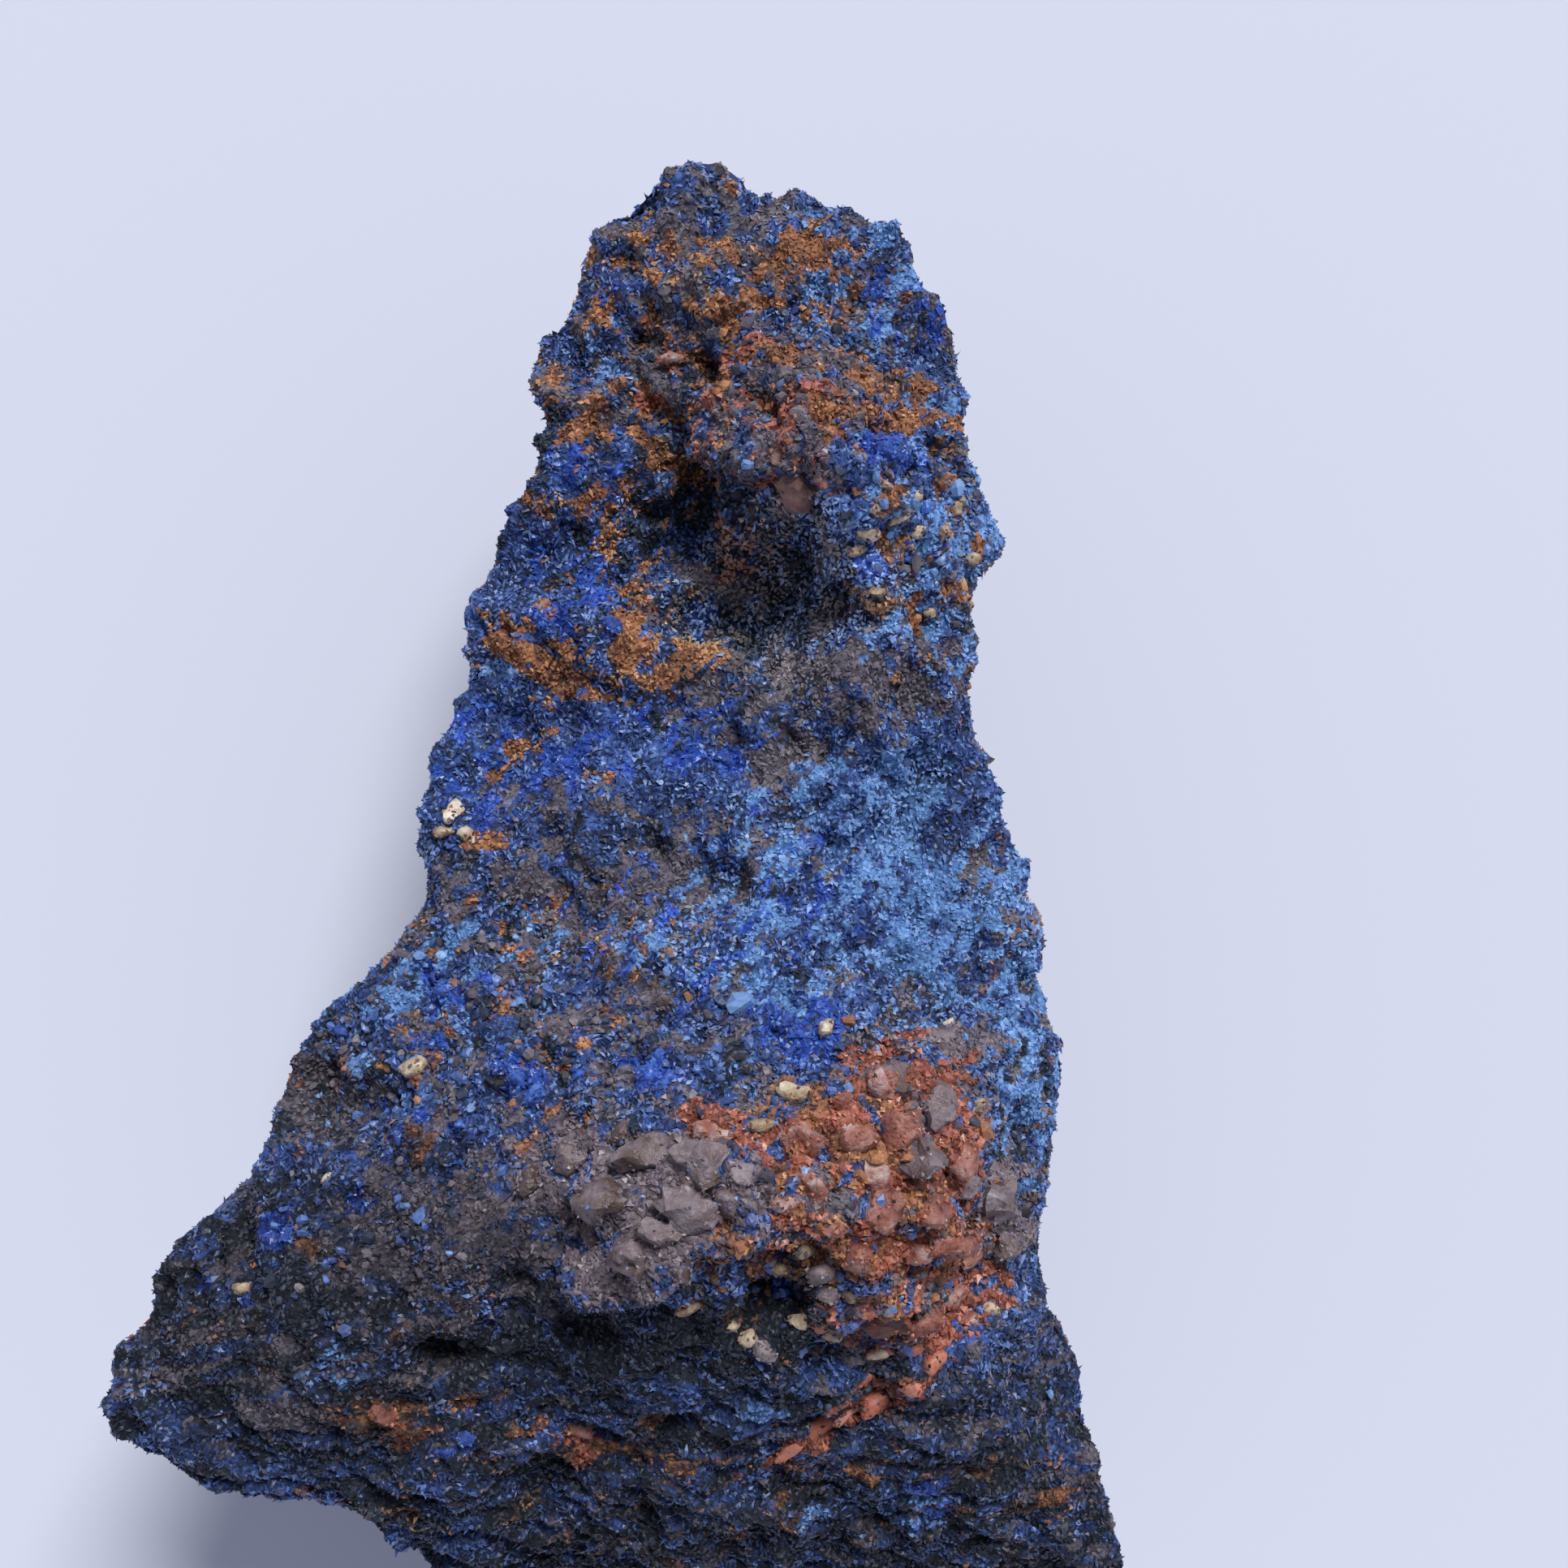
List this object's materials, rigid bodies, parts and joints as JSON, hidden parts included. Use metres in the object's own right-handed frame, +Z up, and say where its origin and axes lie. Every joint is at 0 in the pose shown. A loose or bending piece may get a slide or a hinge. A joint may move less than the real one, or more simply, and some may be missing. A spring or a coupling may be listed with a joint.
{
  "type": "azurite specimen",
  "caption": "Rough tapering shard of sandstone crusted with deep blue azurite, with orange iron-oxide patches and exposed quartz grains, resting on a flat fracture.",
  "frame": {"origin": "centre of the overall box, at the level of the flat fracture the shard rests on", "axes": "+Y along the shard towards its narrow tip, +X across it, +Z up out of the crusted face"},
  "size_m": [0.0204, 0.0327, 0.0149],
  "materials": {
    "azurite_crust": "velvety micro-granular mineral crust, rough and broken"
  },
  "bodies": {
    "root": {"azurite_rock": "azurite_crust"}
  },
  "joints": []
}
